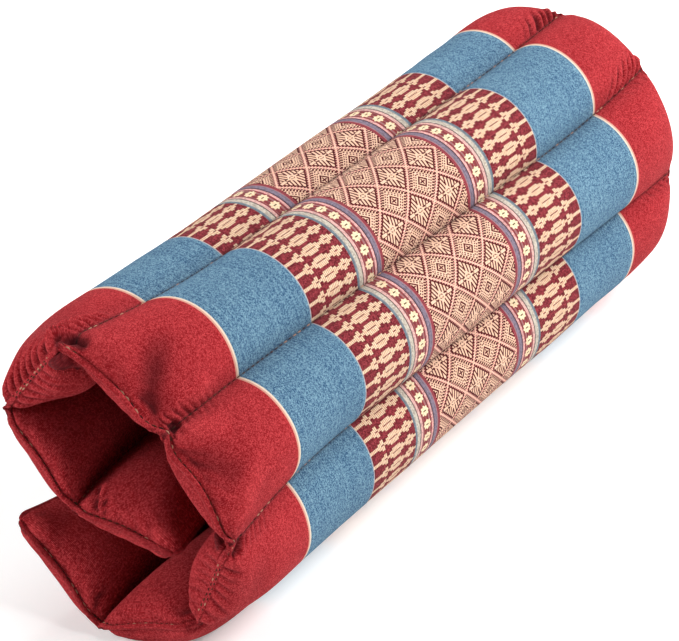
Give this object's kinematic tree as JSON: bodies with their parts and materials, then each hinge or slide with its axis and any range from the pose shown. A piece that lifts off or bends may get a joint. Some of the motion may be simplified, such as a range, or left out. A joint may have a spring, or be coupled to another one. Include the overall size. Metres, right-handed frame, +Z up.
{
  "type": "rolled meditation cushion",
  "caption": "Filled cotton channel mat rolled up into a hollow bolster, with woven bands across it and red canvas ends and underside.",
  "frame": {"origin": "middle of the underside, on the surface that the roll rests on", "axes": "+X along the roll, +Y across it, +Z up; the rolled layers are seen in order from the -X end"},
  "size_m": [0.465, 0.1404, 0.1745],
  "materials": {
    "cotton_cover": "matt woven cotton"
  },
  "bodies": {
    "root": {"cushion": "cotton_cover"}
  },
  "joints": []
}
